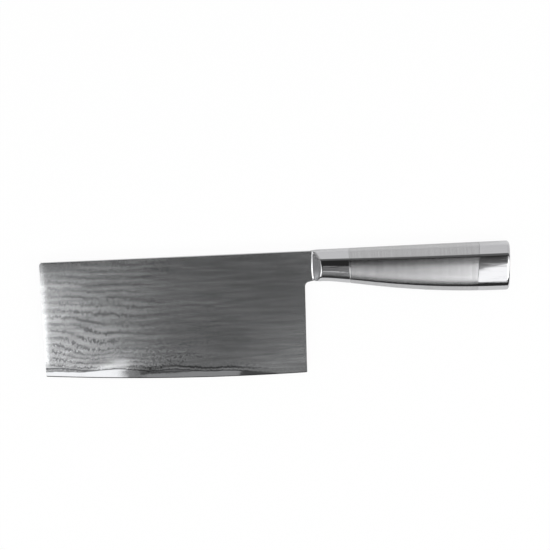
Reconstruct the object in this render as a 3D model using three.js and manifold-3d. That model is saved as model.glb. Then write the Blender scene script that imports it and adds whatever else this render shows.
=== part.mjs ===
// Vegetable cleaver: a laminated steel blade and a hollow, welded, all-steel handle.
// The knife lies flat on its right side. X runs from the tip to the butt, +Y points to the
// spine and +Z out of the left face of the blade. Sizes are in millimetres.
import * as THREE from 'three';
import { mergeVertices } from 'three/addons/utils/BufferGeometryUtils.js';
import Module from 'manifold-3d';

const wasm = await Module();
wasm.setup();

// Blade: lengths run back from the tip, heights run down from the spine
const BLADE_LENGTH = 175; // tip to bolster
const TIP_HEIGHT = 76.3;
const BLADE_HEIGHT = 81.7; // at the lowest point of the edge
const BELLY_FROM_TIP = 130; // where the curved edge is lowest
const NECK_LENGTH = 6; // heel to bolster
const NECK_FILLET = 4.5;
const SPINE_THICKNESS = 2.2;
const CORE_THICKNESS = 0.7;
const CLADDING_LIP = 0.05; // least cladding left on the core
const TIP_SPINE_RADIUS = 2;
const TIP_EDGE_RADIUS = 1.5;
const HEEL_RADIUS = 1.2;

// Bare core along the cutting edge
const CORE_REVEAL = 5.4; // height of the bare strip from the tip to past the belly
const CORE_REVEAL_HEEL = 1;
const REVEAL_END = 150; // where the bare strip has narrowed to its height at the heel
const REVEAL_WAVE = 0.6;
const REVEAL_WAVE_LENGTH = 38;
const BEVEL_HEIGHT = 0.6;
const BEVEL_THICKNESS = 0.3; // across the core where the edge bevel starts

// Tang: the three blade layers, narrowed behind the neck
const NECK_SEAT = 5; // how far the neck goes into the bolster
const TANG_LENGTH = 34;
const TANG_SHOULDER = 4.5; // step from the neck to the tang, at the top and at the bottom

// Handle, from the front of the bolster to the butt
const HANDLE_LENGTH = 127;
const BOLSTER_LENGTH = 23.7;
const CAP_LENGTH = 19.5;
const FRONT_HEIGHT = 18.9;
const BUTT_HEIGHT = 30.1;
const FRONT_WIDTH = 15.2;
const BUTT_WIDTH = 20;
const FRONT_TOP_CHAMFER = 4.2;
const BUTT_TOP_CHAMFER = 5;
const FRONT_LOW_CHAMFER = 3.1;
const BUTT_LOW_CHAMFER = 4;
const FRONT_CROWN = 0.5; // bulge of the broad sides
const BUTT_CROWN = 0.7;
const SWELL_START = 23; // how long the front keeps its section before it grows
const SWELL_END = 72; // how long the growth takes to level off at the butt
const ARRIS_EASE = 0.6; // softening of the eight long edges
const JOINT_BEVEL = 0.25; // fine groove where two handle pieces meet

// Bolster nose
const NOSE_LIP = 0.3;
const NOSE_FILLET = 1.5;
const NOSE_LENGTH = 5.6; // front lip to the side of the handle
const NOSE_SWEEP = 2; // how far the lip runs back at its lower end

// Walls and fits
const GRIP_WALL = 1.2;
const SPIGOT_LENGTH = 8;
const SPIGOT_WALL = 1.2;
const CAP_END_WALL = 4;
const BUTT_RADIUS = 2;
const BUTT_RAKE = 1.3; // how far the end leans in at its lower edge
const SEAM_RAKE = 2.4; // the same for the seam in front of the butt cap
const FIT_GAP = 0.3;
const SLOT_GAP = 0.1;

// Fineness of the faceted surfaces, and the overrun of shapes that only cut
const BLADE_STATIONS = 36;
const GRIP_STATIONS = 14;
const SHORT_STATIONS = 4;
const BOLSTER_STATIONS = 10;
const NOSE_STATIONS = 16;
const SIDE_STEPS = 6;
const ROUND_STEPS = 4;
const ARC_POINTS = 6;
const SOLVE_STEPS = 40; // halvings that place a point on the growth curve
const OVERRUN = 6;

// Places that follow from the sizes above
const HEEL_X = BLADE_LENGTH - NECK_LENGTH;
const SHOULDER_X = BLADE_LENGTH + NECK_SEAT;
const TANG_X = SHOULDER_X + TANG_LENGTH;
const FRONT_SEAM = BLADE_LENGTH + BOLSTER_LENGTH;
const BUTT_X = BLADE_LENGTH + HANDLE_LENGTH;
const REAR_SEAM = BUTT_X - CAP_LENGTH;
const TANG_TOP = -TANG_SHOULDER;
const TANG_BOTTOM = TANG_SHOULDER - FRONT_HEIGHT;
const SPIGOT_INSET = GRIP_WALL + FIT_GAP;
const CAVITY_INSET = SPIGOT_INSET + SPIGOT_WALL;
const HALF_SLOT = SPINE_THICKNESS / 2 + SLOT_GAP;

const mix = THREE.MathUtils.lerp;

// Evenly spaced values from start to end, both included.
function spread(start, end, steps) {
  return Array.from({ length: steps + 1 }, (_, i) => mix(start, end, i / steps));
}

// Triangles that close a flat outline, wound the same way as the outline itself.
function capTriangles(outline) {
  const winding = Math.sign(THREE.ShapeUtils.area(outline));
  return THREE.ShapeUtils.triangulateShape(outline, []).map(([a, b, c]) => {
    const turn = Math.sign(THREE.ShapeUtils.area([outline[a], outline[b], outline[c]]));
    return turn === winding ? [a, b, c] : [c, b, a];
  });
}

// Solid from vertices and triangles, turned right side out.
function solidFrom(positions, triangles) {
  const [p, q, r] = [new THREE.Vector3(), new THREE.Vector3(), new THREE.Vector3()];
  let volume = 0;
  for (const [a, b, c] of triangles) {
    p.fromArray(positions, 3 * a);
    q.fromArray(positions, 3 * b);
    r.fromArray(positions, 3 * c);
    volume += p.dot(q.cross(r));
  }
  const faces = volume > 0 ? triangles : triangles.map(([a, b, c]) => [c, b, a]);
  return new wasm.Manifold(new wasm.Mesh({
    numProp: 3,
    vertProperties: new Float32Array(positions),
    triVerts: new Uint32Array(faces.flat()),
  }));
}

// Solid through a row of outlines with equal point counts; flatten drops the lofting axis.
function loft(rings, flatten) {
  const count = rings[0].length;
  const last = (rings.length - 1) * count;
  const triangles = [];
  for (let r = 0; r + 1 < rings.length; r++) {
    for (let i = 0; i < count; i++) {
      const a = r * count + i;
      const b = r * count + (i + 1) % count;
      triangles.push([a, b, b + count], [a, b + count, a + count]);
    }
  }
  for (const [a, b, c] of capTriangles(rings[0].map(flatten))) triangles.push([c, b, a]);
  for (const [a, b, c] of capTriangles(rings.at(-1).map(flatten))) {
    triangles.push([last + a, last + b, last + c]);
  }
  return solidFrom(rings.flat().flatMap((point) => point.toArray()), triangles);
}

const alongX = (point) => new THREE.Vector2(point.y, point.z);
const alongY = (point) => new THREE.Vector2(point.x, point.z);

// Solid from one of three's own closed geometries.
function solidOf(geometry) {
  geometry.deleteAttribute('normal');
  geometry.deleteAttribute('uv');
  const merged = mergeVertices(geometry);
  const corners = Array.from(merged.index.array);
  const triangles = [];
  for (let i = 0; i < corners.length; i += 3) triangles.push(corners.slice(i, i + 3));
  return solidFrom(Array.from(merged.attributes.position.array), triangles);
}

// Box between two corners.
function boxBetween(low, high) {
  const box = new THREE.Box3(new THREE.Vector3(...low), new THREE.Vector3(...high));
  const size = box.getSize(new THREE.Vector3());
  const centre = box.getCenter(new THREE.Vector3());
  return solidOf(new THREE.BoxGeometry(...size).translate(...centre));
}

// Height of the cutting edge at x: a shallow curve with its low point at the belly.
function edgeY(x) {
  const rise = ((x - BELLY_FROM_TIP) / BELLY_FROM_TIP) ** 2;
  return (BLADE_HEIGHT - TIP_HEIGHT) * rise - BLADE_HEIGHT;
}

// Wavy line where the cladding gives way to the bare core.
function revealY(x) {
  const fade = Math.min(Math.max(x, 0) / REVEAL_END, 1) ** 4.5;
  const wave = REVEAL_WAVE * Math.sin(2 * Math.PI * x / REVEAL_WAVE_LENGTH);
  return edgeY(x) + mix(CORE_REVEAL + wave, CORE_REVEAL_HEEL, fade);
}

// Half thickness of the clad blade at height y: one flat taper from the spine to the edge.
function cladHalf(y) {
  const thin = CORE_THICKNESS / 2 + CLADDING_LIP;
  return mix(SPINE_THICKNESS / 2, thin, -y / BLADE_HEIGHT);
}

// Outline shared by the three blade layers. It runs below the edge, where the tapers end them.
function bladeOutline() {
  const fillet = Math.min(NECK_FILLET, NECK_LENGTH);
  const heelEdge = edgeY(HEEL_X);
  const tipEdge = edgeY(0);
  const quarter = Math.PI / 2;
  const outline = new THREE.Shape();
  outline.moveTo(TIP_SPINE_RADIUS, 0);
  outline.lineTo(SHOULDER_X, 0);
  outline.lineTo(SHOULDER_X, TANG_TOP);
  outline.lineTo(TANG_X, TANG_TOP);
  outline.lineTo(TANG_X, TANG_BOTTOM);
  outline.lineTo(SHOULDER_X, TANG_BOTTOM);
  outline.lineTo(SHOULDER_X, -FRONT_HEIGHT);
  outline.absarc(HEEL_X + fillet, -FRONT_HEIGHT - fillet, fillet, quarter, 2 * quarter, false);
  outline.absarc(HEEL_X - HEEL_RADIUS, heelEdge + HEEL_RADIUS, HEEL_RADIUS, 0, -quarter, true);
  outline.lineTo(HEEL_X - HEEL_RADIUS, heelEdge - OVERRUN);
  outline.lineTo(TIP_EDGE_RADIUS, tipEdge - OVERRUN);
  outline.absarc(TIP_EDGE_RADIUS, tipEdge + TIP_EDGE_RADIUS, TIP_EDGE_RADIUS,
    -quarter, -2 * quarter, true);
  outline.absarc(TIP_SPINE_RADIUS, -TIP_SPINE_RADIUS, TIP_SPINE_RADIUS, 2 * quarter, quarter, true);
  return outline;
}

// A blade layer: its tapering section swept from the tip to the tang, cut to the outline.
function bladeLayer(section) {
  const depth = SPINE_THICKNESS + 2 * OVERRUN;
  const plate = new THREE.ExtrudeGeometry(bladeOutline(), {
    depth, bevelEnabled: false, curveSegments: ARC_POINTS,
  });
  const rings = spread(-OVERRUN, TANG_X + OVERRUN, BLADE_STATIONS).map(
    (x) => section(x).map(([y, z]) => new THREE.Vector3(x, y, z)));
  return loft(rings, alongX).intersect(solidOf(plate.translate(0, 0, -depth / 2)));
}

// Hard core: parallel under the cladding, ground thinner below it, then bevelled to the edge.
function coreSection(x) {
  const half = CORE_THICKNESS / 2;
  const shoulder = edgeY(x) + BEVEL_HEIGHT;
  return [
    [OVERRUN, half], [revealY(x), half], [shoulder, BEVEL_THICKNESS / 2], [edgeY(x), 0],
    [shoulder, -BEVEL_THICKNESS / 2], [revealY(x), -half], [OVERRUN, -half],
  ];
}

// Cladding on one side of the core: side is 1 for the left and -1 for the right.
function claddingSection(x, side) {
  const inner = side * CORE_THICKNESS / 2;
  return [
    [OVERRUN, inner], [OVERRUN, side * cladHalf(OVERRUN)],
    [revealY(x), side * cladHalf(revealY(x))], [revealY(x), inner],
  ];
}

// Share of the handle's growth reached at x: 0 at the bolster, 1 at the butt.
const swellCurve = new THREE.CubicBezierCurve(
  new THREE.Vector2(BLADE_LENGTH, 0), new THREE.Vector2(BLADE_LENGTH + SWELL_START, 0),
  new THREE.Vector2(BUTT_X - SWELL_END, 1), new THREE.Vector2(BUTT_X, 1));

function swell(x) {
  let [low, high] = [0, 1];
  for (let i = 0; i < SOLVE_STEPS; i++) {
    const middle = (low + high) / 2;
    if (swellCurve.getPoint(middle).x < x) low = middle;
    else high = middle;
  }
  return swellCurve.getPoint(low).y;
}

// Replaces the corner at b by two points, a short way towards each neighbour.
function easedCorner(a, b, c) {
  return [a, c].map((neighbour) => {
    const length = Math.hypot(neighbour[0] - b[0], neighbour[1] - b[1]);
    const share = ARRIS_EASE / length;
    return [mix(b[0], neighbour[0], share), mix(b[1], neighbour[1], share)];
  });
}

// How far a point of the section at x, at height y, leans in along the handle: nothing at the
// bolster, most at the seam of the butt cap.
function lean(x, y) {
  const rake = x < REAR_SEAM
    ? SEAM_RAKE * Math.max(0, (x - FRONT_SEAM) / (REAR_SEAM - FRONT_SEAM))
    : mix(SEAM_RAKE, BUTT_RAKE, (x - REAR_SEAM) / CAP_LENGTH);
  return rake * y / BUTT_HEIGHT;
}

// Half of the handle's eight-sided section at x, as [y, z] from its top centre round the +Z
// side to its bottom centre. inset draws every wall in evenly, for cavities and spigots.
function halfSection(x, inset) {
  const share = swell(x);
  const top = -inset;
  const bottom = inset - mix(FRONT_HEIGHT, BUTT_HEIGHT, share);
  const side = mix(FRONT_WIDTH, BUTT_WIDTH, share) / 2 - inset;
  const narrowing = inset * (2 - Math.SQRT2);
  const upper = mix(FRONT_TOP_CHAMFER, BUTT_TOP_CHAMFER, share) - narrowing;
  const lower = mix(FRONT_LOW_CHAMFER, BUTT_LOW_CHAMFER, share) - narrowing;
  const crown = mix(FRONT_CROWN, BUTT_CROWN, share);
  const flank = spread(-1, 1, SIDE_STEPS).map((t) => [
    mix(top - upper, bottom + lower, (t + 1) / 2), side + crown * (1 - t * t)]);
  const corners = [[top, 0], [top, side - upper], ...flank, [bottom, side - lower], [bottom, 0]];
  const arrises = [1, 2, corners.length - 3, corners.length - 2];
  return corners.flatMap((corner, i) => (
    arrises.includes(i) ? easedCorner(corners[i - 1], corner, corners[i + 1]) : [corner]));
}

// Closed ring of the whole section at x.
function fullRing(x, inset) {
  const half = halfSection(x, inset);
  const mirrored = half.slice(1, -1).reverse().map(([y, z]) => [y, -z]);
  return [...half, ...mirrored].map(([y, z]) => new THREE.Vector3(x + lean(x, y), y, z));
}

// Solid of the section between two places along the handle.
function handleLoft(start, end, inset, steps) {
  return loft(spread(start, end, steps).map((x) => fullRing(x, inset)), alongX);
}

// Plan of the bolster's nose at height y: a lip on the blade, a hollow fillet, then an angled
// face that leaves the fillet at a tangent and passes through the front of the handle's side.
function noseRing(y) {
  const low = Math.max(0, -2 * y / FRONT_HEIGHT - 1);
  const front = BLADE_LENGTH + NOSE_SWEEP * Math.min(low, 1) ** 2;
  const lip = HALF_SLOT + NOSE_LIP;
  const run = BLADE_LENGTH + NOSE_LENGTH - front;
  const rise = FRONT_WIDTH / 2 - lip - NOSE_FILLET;
  const slope = Math.atan2(rise, run) + Math.asin(NOSE_FILLET / Math.hypot(run, rise));
  const clear = FRONT_WIDTH / 2 + 2 * FRONT_CROWN;
  const flank = spread(0, slope, ARC_POINTS).map((angle) => [
    front + NOSE_FILLET * Math.sin(angle), lip + NOSE_FILLET * (1 - Math.cos(angle))]);
  const [x, z] = flank.at(-1);
  const back = x + (clear - z) / Math.tan(slope);
  flank.push([back, clear], [back, BUTT_WIDTH], [BUTT_X, BUTT_WIDTH]);
  const mirrored = flank.map(([px, pz]) => [px, -pz]).reverse();
  return [...flank, ...mirrored].map(([px, pz]) => new THREE.Vector3(px, y, pz));
}

// Bolster: the front of the handle cut to its nose, with slots for the blade's neck and tang
// and a spigot for the grip.
function bolsterSolid() {
  const rings = spread(BLADE_LENGTH - OVERRUN, FRONT_SEAM - JOINT_BEVEL, BOLSTER_STATIONS).map(
    (x) => fullRing(x, 0));
  rings.push(fullRing(FRONT_SEAM, JOINT_BEVEL));
  const nose = loft(spread(OVERRUN, -FRONT_HEIGHT - OVERRUN, NOSE_STATIONS).map(noseRing), alongY);
  const spigotEnd = FRONT_SEAM + SPIGOT_LENGTH;
  const spigot = handleLoft(FRONT_SEAM - JOINT_BEVEL, spigotEnd, SPIGOT_INSET, SHORT_STATIONS);
  const neckSlot = boxBetween(
    [BLADE_LENGTH - OVERRUN, -FRONT_HEIGHT - OVERRUN, -HALF_SLOT],
    [SHOULDER_X + FIT_GAP, OVERRUN, HALF_SLOT]);
  const tangSlot = boxBetween(
    [SHOULDER_X, TANG_BOTTOM - FIT_GAP, -HALF_SLOT],
    [spigotEnd + OVERRUN, TANG_TOP + FIT_GAP, HALF_SLOT]);
  return loft(rings, alongX).intersect(nose).add(spigot).subtract(neckSlot).subtract(tangSlot);
}

// One half of the hollow grip: side is 1 for the left and -1 for the right.
function gripShell(side) {
  const places = [
    [FRONT_SEAM, JOINT_BEVEL],
    ...spread(FRONT_SEAM + JOINT_BEVEL, REAR_SEAM - JOINT_BEVEL, GRIP_STATIONS).map((x) => [x, 0]),
    [REAR_SEAM, JOINT_BEVEL],
  ];
  const rings = places.map(([x, inset]) => {
    const wall = [...halfSection(x, inset), ...halfSection(x, GRIP_WALL).reverse()];
    return wall.map(([y, z]) => new THREE.Vector3(x + lean(x, y), y, side * z));
  });
  return loft(rings, alongX);
}

// Butt cap: a thick hollow end with rounded edges and a spigot for the grip.
function capSolid() {
  const rings = [fullRing(REAR_SEAM, JOINT_BEVEL)];
  for (const x of spread(REAR_SEAM + JOINT_BEVEL, BUTT_X - 2 * BUTT_RADIUS, SHORT_STATIONS)) {
    rings.push(fullRing(x, 0));
  }
  for (const angle of spread(0, Math.PI / 2, ROUND_STEPS)) {
    const x = BUTT_X - BUTT_RADIUS * (1 - Math.sin(angle));
    rings.push(fullRing(x, BUTT_RADIUS * (1 - Math.cos(angle))));
  }
  const spigotEnd = REAR_SEAM - SPIGOT_LENGTH;
  const spigot = handleLoft(spigotEnd, REAR_SEAM + JOINT_BEVEL, SPIGOT_INSET, SHORT_STATIONS);
  const cavity = handleLoft(spigotEnd - OVERRUN, BUTT_X - CAP_END_WALL, CAVITY_INSET, SHORT_STATIONS);
  return loft(rings, alongX).add(spigot).subtract(cavity);
}

const coreSteel = { color: 0xc4c6c8, roughness: 0.22, metalness: 1 };
const layeredSteel = { color: 0x8b8d90, roughness: 0.38, metalness: 1 };
const polishedSteel = { color: 0xd2d3d5, roughness: 0.08, metalness: 1 };
const brushedSteel = { color: 0xb4b5b7, roughness: 0.36, metalness: 1 };

// Named mesh of one piece.
function piece(name, solid, finish) {
  const { vertProperties, triVerts } = solid.getMesh();
  const geometry = new THREE.BufferGeometry();
  geometry.setAttribute('position', new THREE.BufferAttribute(vertProperties, 3));
  geometry.setIndex(new THREE.BufferAttribute(triVerts, 1));
  geometry.computeVertexNormals();
  const mesh = new THREE.Mesh(geometry, new THREE.MeshStandardMaterial(finish));
  mesh.name = name;
  return mesh;
}

const cleaver = new THREE.Group();
cleaver.add(
  piece('blade_core', bladeLayer(coreSection), coreSteel),
  piece('left_cladding', bladeLayer((x) => claddingSection(x, 1)), layeredSteel),
  piece('right_cladding', bladeLayer((x) => claddingSection(x, -1)), layeredSteel),
  piece('bolster', bolsterSolid(), polishedSteel),
  piece('left_grip_shell', gripShell(1), brushedSteel),
  piece('right_grip_shell', gripShell(-1), brushedSteel),
  piece('butt_cap', capSolid(), polishedSteel),
);

// The origin is under the middle of the knife, on the surface that it lies on.
const bounds = new THREE.Box3().setFromObject(cleaver);
const middle = bounds.getCenter(new THREE.Vector3());
cleaver.position.set(-middle.x, -middle.y, -bounds.min.z);

export default cleaver;
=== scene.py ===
# %% [markdown]
# A vegetable cleaver, dressed for its picture.
# The real knife has a laminated blade, a hard core between two sheets of layered steel, and a
# hollow steel handle welded from a polished bolster, two pressed grip halves and a polished cap.
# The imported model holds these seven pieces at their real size. Each is modelled again here with
# smooth surfaces, in the same place, and gets the finish of its own steel.

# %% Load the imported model
from math import atan2, asin, cos, hypot, pi, radians, sin, tan

import bmesh
import bpy
import numpy as np
from mathutils import Matrix, Vector, noise
from mathutils.geometry import interpolate_bezier


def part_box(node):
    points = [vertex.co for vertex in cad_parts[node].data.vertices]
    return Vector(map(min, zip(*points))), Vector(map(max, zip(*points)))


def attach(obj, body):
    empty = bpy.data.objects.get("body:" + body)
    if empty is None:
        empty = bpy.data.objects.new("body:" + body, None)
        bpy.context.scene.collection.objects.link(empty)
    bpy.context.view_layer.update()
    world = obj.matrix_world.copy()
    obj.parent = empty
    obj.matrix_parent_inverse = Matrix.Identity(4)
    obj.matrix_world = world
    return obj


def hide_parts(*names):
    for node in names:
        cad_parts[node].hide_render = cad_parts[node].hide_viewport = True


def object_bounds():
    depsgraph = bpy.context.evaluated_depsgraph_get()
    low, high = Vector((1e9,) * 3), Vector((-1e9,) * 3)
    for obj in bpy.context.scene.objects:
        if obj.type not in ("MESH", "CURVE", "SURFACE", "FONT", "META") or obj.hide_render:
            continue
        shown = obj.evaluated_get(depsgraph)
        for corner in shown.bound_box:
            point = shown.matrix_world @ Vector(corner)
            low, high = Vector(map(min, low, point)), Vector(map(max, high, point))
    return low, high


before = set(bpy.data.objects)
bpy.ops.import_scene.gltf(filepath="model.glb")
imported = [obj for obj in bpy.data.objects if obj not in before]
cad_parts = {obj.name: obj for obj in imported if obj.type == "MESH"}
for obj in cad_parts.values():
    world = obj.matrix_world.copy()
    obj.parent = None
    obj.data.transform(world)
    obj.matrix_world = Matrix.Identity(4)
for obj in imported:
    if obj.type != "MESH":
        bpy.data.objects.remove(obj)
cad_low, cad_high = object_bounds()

print("packed pieces:", sorted(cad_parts))

# %% [markdown]
# A knife is measured back from its tip and down from its spine, in millimetres, so the lesson
# does the same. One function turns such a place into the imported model's metres, and one turns it
# back. The tip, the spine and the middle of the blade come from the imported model's own box.

# %% Places on the knife
MM = 0.001
MIDDLE = (cad_low.z + cad_high.z) / 2


def at(x, y, z):
    """A place on the knife: x back from the tip, y up from the spine, z out of the left face."""
    return Vector((cad_low.x + x * MM, cad_high.y + y * MM, MIDDLE + z * MM))


def on_knife(point):
    """The same place in millimetres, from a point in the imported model's metres."""
    return Vector((point.x - cad_low.x, point.y - cad_high.y, point.z - MIDDLE)) / MM


def mix(start, end, share):
    """The value at a share of the way from start to end."""
    return start + (end - start) * share


front_seam = on_knife(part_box("left_grip_shell")[0]).x
rear_seam = on_knife(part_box("left_grip_shell")[1]).x
print(f"grip from {front_seam:.1f} to {rear_seam:.1f} mm behind the tip")

# %% [markdown]
# The photograph looks as if it was taken from some way off with a long lens, 15 degrees over towards
# the spine, and turned a little so that the handle rises to the right. The camera is set from those
# angles, and its lens from the width of the picture at the knife.

# %% Camera
CAMERA_DISTANCE = 1.8
CAMERA_TILT = radians(15.16)
CAMERA_ROLL = radians(2.565)
PICTURE_PIXELS, PIXEL_SIZE = 550, 0.6427
AIM_HEIGHT = 25.88
SENSOR_WIDTH = 36

picture_width = PICTURE_PIXELS * PIXEL_SIZE * MM
aim = Vector((0, AIM_HEIGHT * MM, MIDDLE))
back = Vector((0, sin(CAMERA_TILT), cos(CAMERA_TILT)))
level_up = Vector((0, cos(CAMERA_TILT), -sin(CAMERA_TILT)))
level_right = Vector((1, 0, 0))
right = level_right * cos(CAMERA_ROLL) - level_up * sin(CAMERA_ROLL)
up = level_right * sin(CAMERA_ROLL) + level_up * cos(CAMERA_ROLL)

camera_data = bpy.data.cameras.new("studio_camera")
camera_data.sensor_width = SENSOR_WIDTH
camera_data.lens = SENSOR_WIDTH * CAMERA_DISTANCE / picture_width
camera = bpy.data.objects.new("studio_camera", camera_data)
bpy.context.scene.collection.objects.link(camera)
turn = Matrix((right, up, back)).transposed().to_4x4()
camera.matrix_world = Matrix.Translation(aim + back * CAMERA_DISTANCE) @ turn
bpy.context.scene.camera = camera
bpy.context.scene.view_settings.view_transform = "Standard"
print(f"lens {camera_data.lens:.1f} mm")

# %% [markdown]
# Every piece is modelled in edit mode, where an operator acts on whatever is selected. Two small
# helpers do what a hand does with the mouse: one starts a new mesh from a primitive, and one picks
# points, edges or faces by where they are on the knife. Two measures agree within a slack.

# %% Helpers for edit mode
SLACK, WIDE_SLACK = 0.02, 0.1


def start(name, primitive, **sizes):
    """A new piece from a primitive, left in edit mode with nothing else selected."""
    bpy.ops.object.select_all(action="DESELECT")
    primitive(**sizes)
    piece = bpy.context.object
    piece.name = piece.data.name = name
    bpy.ops.object.mode_set(mode="EDIT")
    bpy.ops.mesh.select_mode(type="VERT")
    return piece


def pick(kind, test, along=None):
    """Selects the verts, edges or faces in edit mode whose corners all pass a test of their place.
    Edges can also be asked to run mainly along one axis."""
    bpy.ops.mesh.select_mode(type={"verts": "VERT", "edges": "EDGE", "faces": "FACE"}[kind])
    bpy.ops.mesh.select_all(action="DESELECT")
    mesh = bmesh.from_edit_mesh(bpy.context.object.data)
    passed = {v for v in mesh.verts if test(on_knife(v.co))}
    for element in getattr(mesh, kind):
        corners = [element] if kind == "verts" else list(element.verts)
        if not all(corner in passed for corner in corners):
            continue
        if along is not None:
            run = [abs(c) for c in corners[1].co - corners[0].co]
            if run[along] < max(run):
                continue
        element.select_set(True)
    mesh.select_flush_mode()
    bmesh.update_edit_mesh(bpy.context.object.data)


def near(a, b, slack=SLACK):
    """True where two measures agree."""
    return abs(a - b) < slack


def finish_piece():
    """Back to object mode with merged points and faces that point outwards."""
    bpy.ops.mesh.select_mode(type="VERT")
    bpy.ops.mesh.select_all(action="SELECT")
    bpy.ops.mesh.remove_doubles(threshold=1e-6)
    bpy.ops.mesh.normals_make_consistent(inside=False)
    bpy.ops.object.mode_set(mode="OBJECT")
    return bpy.context.object


# %% [markdown]
# The handle is eight-sided: flat on top, with 45 degree chamfers and gently crowned sides. It
# keeps its section behind the blade and then grows downwards to the butt. It could be one box with
# bevelled edges, but the chamfers widen towards the butt, so it is lofted instead: the true
# section is drawn every few millimetres from a plane with bevelled corners, and the sections are
# bridged.

# %% Sizes of the handle
FRONT_X, BUTT_X = 175, 302
FRONT_HEIGHT, BUTT_HEIGHT = 18.9, 30.1
FRONT_WIDTH, BUTT_WIDTH = 15.2, 20
FRONT_TOP_CHAMFER, BUTT_TOP_CHAMFER = 4.3, 5.25
FRONT_LOW_CHAMFER, BUTT_LOW_CHAMFER = 3.3, 4.3
FRONT_CROWN, BUTT_CROWN = 0.5, 0.7
SWELL_START, SWELL_END = 23, 72

growth = interpolate_bezier(
    Vector((FRONT_X, 0)), Vector((FRONT_X + SWELL_START, 0)),
    Vector((BUTT_X - SWELL_END, 1)), Vector((BUTT_X, 1)), 200)


def swell(x):
    """Share of the handle's growth that is reached at x."""
    return float(np.interp(x, [p.x for p in growth], [p.y for p in growth]))


def section_sizes(x):
    """Height, width, upper chamfer, lower chamfer and crown of the handle at x."""
    front = (FRONT_HEIGHT, FRONT_WIDTH, FRONT_TOP_CHAMFER, FRONT_LOW_CHAMFER, FRONT_CROWN)
    butt = (BUTT_HEIGHT, BUTT_WIDTH, BUTT_TOP_CHAMFER, BUTT_LOW_CHAMFER, BUTT_CROWN)
    return [mix(a, b, swell(x)) for a, b in zip(front, butt)]


print("handle section at the seams:", [[round(s, 1) for s in section_sizes(x)]
                                       for x in (front_seam, rear_seam)])

# %% [markdown]
# A section starts as a plane with its four corners bevelled off. The crown of the sides is then made
# in two steps: the three middle points of each side are pushed out, and the middle one once more.

# %% One section of the handle
SIDE_CUTS = 3
CROWN_REACH, CROWN_PUSH = (0.6, 0.1), (0.82, 0.27)


def draw_section(x):
    """An eight-sided ring across the handle, with crowned sides."""
    height, width, upper, lower, crown = section_sizes(x)
    centre = at(x, -height / 2, 0)
    here = lambda p: near(p.x, x)
    bpy.ops.mesh.select_mode(type="VERT")
    bpy.ops.mesh.primitive_plane_add(size=1, location=centre, rotation=(0, pi / 2, 0))
    bpy.ops.transform.resize(value=(1, height * MM, width * MM), center_override=centre)
    for corner_y, chamfer in ((0, upper), (-height, lower)):
        pick("verts", lambda p: here(p) and near(p.y, corner_y))
        bpy.ops.mesh.bevel(offset=chamfer * MM, offset_type="ABSOLUTE", affect="VERTICES")
    pick("faces", here)
    bpy.ops.mesh.delete(type="ONLY_FACE")
    pick("edges", lambda p: here(p) and near(abs(p.z), width / 2))
    bpy.ops.mesh.subdivide(number_cuts=SIDE_CUTS)
    flat = (height - upper - lower) / 2
    middle = lower + flat - height
    for reach, push in zip(CROWN_REACH, CROWN_PUSH):
        pick("verts", lambda p: here(p) and abs(p.z) > width / 2 - SLACK
             and abs(p.y - middle) < reach * flat)
        wider = 1 + push * crown / (width / 2)
        bpy.ops.transform.resize(value=(1, 1, wider), center_override=centre)
    pick("edges", lambda p: here(p) and (near(p.y, 0) or near(p.y, -height)))
    bpy.ops.mesh.subdivide(number_cuts=1)


# %% Handle blank
NOSE_BACK, BEHIND_NOSE, GRIP_START = 180.3, 182.4, 188
END_ROUND, END_GAP, GRIP_SECTIONS = 2.2, 2, 19
end_x = BUTT_X - END_ROUND
grip_stations = np.linspace(GRIP_START, end_x - END_GAP, GRIP_SECTIONS)
stations = [NOSE_BACK, BEHIND_NOSE, *grip_stations, end_x, BUTT_X]
blank = start("handle_blank", bpy.ops.mesh.primitive_plane_add, size=MM)
bpy.ops.mesh.select_all(action="SELECT")
bpy.ops.mesh.delete(type="VERT")
for station in stations:
    draw_section(station)
bpy.ops.mesh.select_mode(type="EDGE")
bpy.ops.mesh.select_all(action="SELECT")
bpy.ops.mesh.bridge_edge_loops(type="SINGLE")
mesh = bmesh.from_edit_mesh(blank.data)
print("handle blank:", len(mesh.verts), "points,", len(mesh.faces), "faces")
bpy.ops.object.mode_set(mode="OBJECT")

# %% [markdown]
# Later shapes follow a curve that no operator draws, such as the sweep of the bolster's nose or
# the wavy line of the core. There the operator makes the points, and one helper moves each of the
# selected points to where a formula puts it.

# %% Moving points by a formula, and copying a piece


def move_selected(rule):
    """Moves each selected point to the place that a rule gives for it, in knife millimetres."""
    mesh = bmesh.from_edit_mesh(bpy.context.object.data)
    for point in mesh.verts:
        if point.select:
            point.co = at(*rule(on_knife(point.co)))
    bmesh.update_edit_mesh(bpy.context.object.data)


def copy_of(source, name):
    """A copy with its own mesh, in edit mode."""
    bpy.ops.object.select_all(action="DESELECT")
    piece = source.copy()
    piece.data = source.data.copy()
    piece.name = piece.data.name = name
    bpy.context.scene.collection.objects.link(piece)
    bpy.context.view_layer.objects.active = piece
    piece.select_set(True)
    bpy.ops.object.mode_set(mode="EDIT")
    return piece


def slice_at(place, towards, **options):
    """Cuts the whole mesh in edit mode with a plane that faces the given way."""
    bpy.ops.mesh.select_mode(type="VERT")
    bpy.ops.mesh.select_all(action="SELECT")
    bpy.ops.mesh.bisect(plane_co=place, plane_no=towards, **options)


# %% [markdown]
# The bolster's nose comes down from the full section to a thin lip on the blade. On the real knife
# it is ground: a slanting face on each side runs into a hollow fillet. The lip is nearly straight and
# hangs a little below the handle, and the slanting face runs further back at its top and further
# forward at its foot. The formulas below give these curves.

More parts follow.
